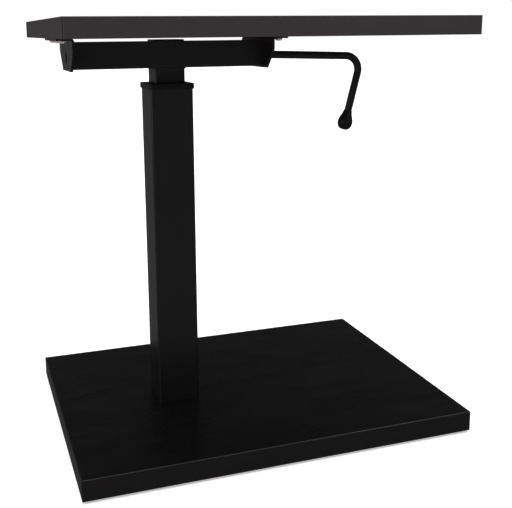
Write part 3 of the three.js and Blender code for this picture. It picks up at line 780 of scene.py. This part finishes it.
def bead_line(corners, closed=False):
    """Points along straight runs between corners, a weld step apart."""
    line = []
    stops = corners[1:] + (corners[:1] if closed else [])
    for start, end in zip(corners, stops):
        steps = max(round((end - start).length / WELD["step"]), 1)
        line += [start + (end - start) * k / steps for k in range(steps)]
    return line if closed else line + [corners[-1]]


def make_weld(name, corners, normal, closed=False):
    """A rippled fillet bead, half sunk in the two pieces that it joins."""
    line = bead_line(corners, closed)
    sizes = []
    for i in range(len(line)):
        ripple = sin(2 * pi * i * WELD["step"] / WELD["pitch"])
        sizes.append(WELD["radius"] + WELD["ripple"] * ripple)
    made = swept(name, line, sizes, normal, sides=10, closed=closed)
    dress(made, "beam_channel", stands_in=False)


def make_welds():
    """Beads under the beam: across it at both end plates, and round the inner tube."""
    lo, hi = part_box("beam_channel")
    inset = 2 * WELD["radius"]
    for end, x in (("left", lo.x), ("right", hi.x)):
        corners = [Vector((x, lo.y + inset, lo.z)), Vector((x, hi.y - inset, lo.z))]
        make_weld(f"weld_{end}", corners, Vector((0, 0, 1)))
    centre, half = middle("inner_tube"), half_size("inner_tube")
    loop = ring(centre, half, INNER_TUBE["corner"], lo.z, 6)
    make_weld("weld_tube", loop, Vector((0, 0, 1)), closed=True)


# ------------------------------------------------------------------ screws

def screw_profile(lo, hi):
    """From the head's crown, at the bottom, to the point."""
    height, shank = SCREW["height"], SCREW["shank"]
    widening, rise = SCREW["dome"]
    seat = lo.z + height
    profile = [(SCREW["tip"], lo.z)]
    steps = SCREW["dome_steps"]
    for k in range(1, steps + 1):
        angle = k / steps * pi / 2
        radius = SCREW["head"] * sin(angle) ** widening
        profile.append((radius, seat - height * cos(angle) ** rise))
    return profile + [(shank, seat), (shank, hi.z - SCREW["point"]), (SCREW["tip"], hi.z)]


def cross_recess(x, y, z):
    """The cutter for a recess up into a screw's head, whose crown is at x, y, z."""
    cutter = bmesh.new()
    across, narrow = SCREW["cross"], SCREW["cross"] / 5
    for width, depth in ((across, narrow), (narrow, across)):
        for vert in bmesh.ops.create_cube(cutter, size=1.0)["verts"]:
            deep = vert.co.z > 0
            taper = SCREW["recess_taper"] if deep else 1.0
            vert.co = Vector((
                x + vert.co.x * width * taper, y + vert.co.y * depth * taper,
                z + (SCREW["recess"] if deep else -PAST),
            ))
    return cutter


def make_screw(name, node):
    """A pan-head screw with a cross recess.  Its head is at the bottom of its CAD node."""
    lo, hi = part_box(node)
    x, y = middle(node)
    made = turned(name, screw_profile(lo, hi), (x, y), 6)
    cut(made, cross_recess(x, y, lo.z))
    dress(made, node)


def make_screws():
    for node in sorted(NODE_SLOT):
        if node.startswith(("desktop_screw", "foot_screw")):
            make_screw("visible_" + node, node)


# ------------------------------------------------------------------ lever

def straight(start, reach, steps):
    """Points in equal steps from start, which is left out, to start + reach."""
    return [start + reach * k / steps for k in range(1, steps + 1)]


def lever_line():
    """Points along the rod's centre line, and the direction of its arm."""
    pivot = lever_pivot()
    along = Vector((cos(LEVER["droop"]), 0, -sin(LEVER["droop"])))
    down = Vector((-sin(LEVER["lean"]), 0, -cos(LEVER["lean"])))
    start = pivot - along * LEVER["inner"]
    elbow = pivot + along * (LEVER["elbow"] / cos(LEVER["droop"]))
    turn = pi / 2 + LEVER["lean"] - LEVER["droop"]
    tangent = LEVER["bend"] * tan(turn / 2)
    bend_start = elbow - along * tangent
    points = [start, *straight(start, bend_start - start, 12)]
    inwards = Vector((along.z, 0, -along.x))
    centre = bend_start + inwards * LEVER["bend"]
    arc_steps = 24
    for k in range(1, arc_steps + 1):
        angle = turn * k / arc_steps
        points.append(centre + LEVER["bend"] * (along * sin(angle) - inwards * cos(angle)))
    arm = LEVER["arm"] - tangent - (KNOB["length"] - KNOB["bore"])
    points += straight(points[-1], down * arm, 4)
    return points, down


def make_lever():
    """The bent rod, with a broken edge at its inner end and a bore for its pin, and its knob."""
    points, down = lever_line()
    sizes = [LEVER["radius"]] * len(points)
    along = (points[1] - points[0]).normalized()
    points[:1] = [points[0] + along * distance for distance, _ in LEVER_TIP]
    sizes[:1] = [LEVER["radius"] * share for _, share in LEVER_TIP]
    made = swept("release_lever_rod", points, sizes, Vector((0, 1, 0)), sides=32)
    bore = bmesh.new()
    bmesh.ops.create_cone(
        bore, cap_ends=True, segments=28, radius1=LEVER["pin_bore"], radius2=LEVER["pin_bore"],
        depth=4 * LEVER["radius"],
        matrix=Matrix.Translation(lever_pivot()) @ Matrix.Rotation(pi / 2, 4, "X"),
    )
    cut(made, bore)
    dress(made, "lever_rod")
    make_knob(points[-1], down)


def knob_profile():
    """From the bottom of the bore, over the rolled lip and the swell, to a small flat."""
    radius, neck, lip, widest = KNOB["radius"], KNOB["neck"], KNOB["lip"], KNOB["widest"]
    bore = LEVER["radius"] + KNOB["clearance"]
    profile = [
        (ON_AXIS, KNOB["bore"]), (bore, KNOB["bore"]), (bore, lip * 1.5),
        (bore + lip * 0.75, 0.0), (neck - lip, 0.0), (neck, lip),
    ]
    for k in range(1, KNOB["swell_steps"] + 1):
        t = k / KNOB["swell_steps"]
        ease = t * t * (3 - 2 * t)
        profile.append((neck + (radius - neck) * ease, widest * t))
    for k in range(1, KNOB["crown_steps"] + 1):
        angle = k / KNOB["crown_steps"] * pi / 2
        width = max(radius * cos(angle) ** KNOB["flatness"], ON_AXIS)
        profile.append((width, widest + (KNOB["length"] - widest) * sin(angle)))
    return profile


def make_knob(end, down):
    """A teardrop grip pushed over the rod's end."""
    grip = turned("lever_grip", knob_profile(), segments=12)
    grip.rotation_mode = "QUATERNION"
    grip.rotation_quaternion = Vector((0, 0, 1)).rotation_difference(down)
    grip.location = end - down * KNOB["bore"]
    dress(grip, "lever_knob")


# ------------------------------------------------------------------ glides, and nodes that stay

def make_glides():
    """Round pads under the base, each with a spigot up into it."""
    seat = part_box("base_panel")[0].z
    spigot = GLIDE["spigot"]
    for node in sorted(NODE_SLOT):
        if not node.startswith("glide"):
            continue
        lo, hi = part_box(node)
        radius = half_size(node)[0]
        profile = rounded([
            (ON_AXIS, lo.z), (radius, lo.z), (radius, seat), (spigot, seat), (spigot, hi.z),
            (ON_AXIS, hi.z),
        ], GLIDE["edge"], 3, False)
        dress(turned("pad_" + node, profile, middle(node), 10), node)


def finish_cad_nodes():
    """Every CAD node that is still shown gets its slot's finish."""
    for name, node in frame["nodes"].items():
        node.data.materials.clear()
        node.data.materials.append(FINISHES[NODE_SLOT[name]])


# ------------------------------------------------------------------ stage

def make_floor():
    """A pale floor, which reflections don't see: they see the world's front sweep."""
    bm = bmesh.new()
    bmesh.ops.create_grid(bm, x_segments=2, y_segments=2, size=FLOOR_SIZE)
    floor = piece("floor", bm)
    finish = Finish("studio_floor", Roughness=0.9)
    white = finish.mix(finish.noise(1.5, 2.0), *FLOOR_TONES)
    finish.set("Base Color", white)
    finish.set("Emission Color", white)
    seen = finish.node("ShaderNodeLightPath").outputs["Is Camera Ray"]
    finish.set("Emission Strength", finish.ramp(seen, 0.0, 1.0, *FLOOR_LIFT))
    floor.data.materials.append(finish.material)
    floor.visible_glossy = False


def make_world():
    """White to the camera.  To everything else a dim room with a pale sweep round the desk."""
    world = bpy.data.worlds.new("studio")
    bpy.context.scene.world = world
    world.use_nodes = True
    nodes = Nodes(world.node_tree)
    nodes.tree.nodes.clear()
    place = nodes.node("ShaderNodeTexCoord").outputs["Generated"]
    direction = nodes.node("ShaderNodeSeparateXYZ", {0: place}).outputs
    glow = ROOM_GLOW
    for sweep in (BACK_SWEEP, FRONT_SWEEP):
        along = nodes.ramp(direction["Y"], *sweep["y"], 0.0, sweep["glow"])
        share = nodes.ramp(direction["Z"], *sweep["z"], 0.0, 1.0)
        glow = nodes.maths("MULTIPLY_ADD", along, share, glow)
    lit = nodes.node("ShaderNodeBackground", {"Color": WHITE, "Strength": glow})
    seen = nodes.node("ShaderNodeBackground", {"Color": WHITE})
    by_camera = nodes.node("ShaderNodeLightPath").outputs["Is Camera Ray"]
    mix = nodes.node("ShaderNodeMixShader", {
        0: by_camera, 1: lit.outputs[0], 2: seen.outputs[0],
    })
    nodes.node("ShaderNodeOutputWorld", {0: mix.outputs[0]})


def add_lamp(data):
    lamp = bpy.data.objects.new(data.name, data)
    bpy.context.scene.collection.objects.link(lamp)
    return lamp


def area_light(name, place, size, power, colour):
    data = bpy.data.lights.new(name, "AREA")
    data.color = colour
    data.shape = "RECTANGLE"
    data.size, data.size_y = size
    data.energy = power
    lamp = add_lamp(data)
    lamp.location = place
    towards = Vector(LIGHT_TARGET) - Vector(place)
    lamp.rotation_euler = towards.to_track_quat("-Z", "Y").to_euler()


def make_lights():
    """A broad light from above, a warm one from the left and a weak one from front right."""
    overhead = bpy.data.lights.new("overhead", "SUN")
    overhead.energy = SUN["power"]
    overhead.angle = SUN["angle"]
    add_lamp(overhead)
    for name, light in AREA_LIGHTS.items():
        area_light(name, *light)


def make_camera():
    data = bpy.data.cameras.new("camera")
    data.sensor_width = CAMERA_SENSOR
    data.lens = CAMERA_LENS
    data.shift_x, data.shift_y = CAMERA_SHIFT
    camera = bpy.data.objects.new("camera", data)
    camera.location = CAMERA_PLACE
    turn = (
        Matrix.Rotation(-CAMERA_YAW, 3, "Z")
        @ Matrix.Rotation(pi / 2 - CAMERA_PITCH, 3, "X")
        @ Matrix.Rotation(-CAMERA_ROLL, 3, "Z")
    )
    camera.rotation_euler = turn.to_euler()
    bpy.context.scene.collection.objects.link(camera)
    bpy.context.scene.camera = camera


make_camera()
make_world()
make_lights()
make_floor()
bpy.context.scene.view_settings.view_transform = "Standard"

make_boards()
make_column()
make_inner_tube()
for plate_side in ("left", "right"):
    make_end_plate(plate_side)
make_beam()
make_welds()
make_screws()
make_lever()
make_glides()
finish_cad_nodes()
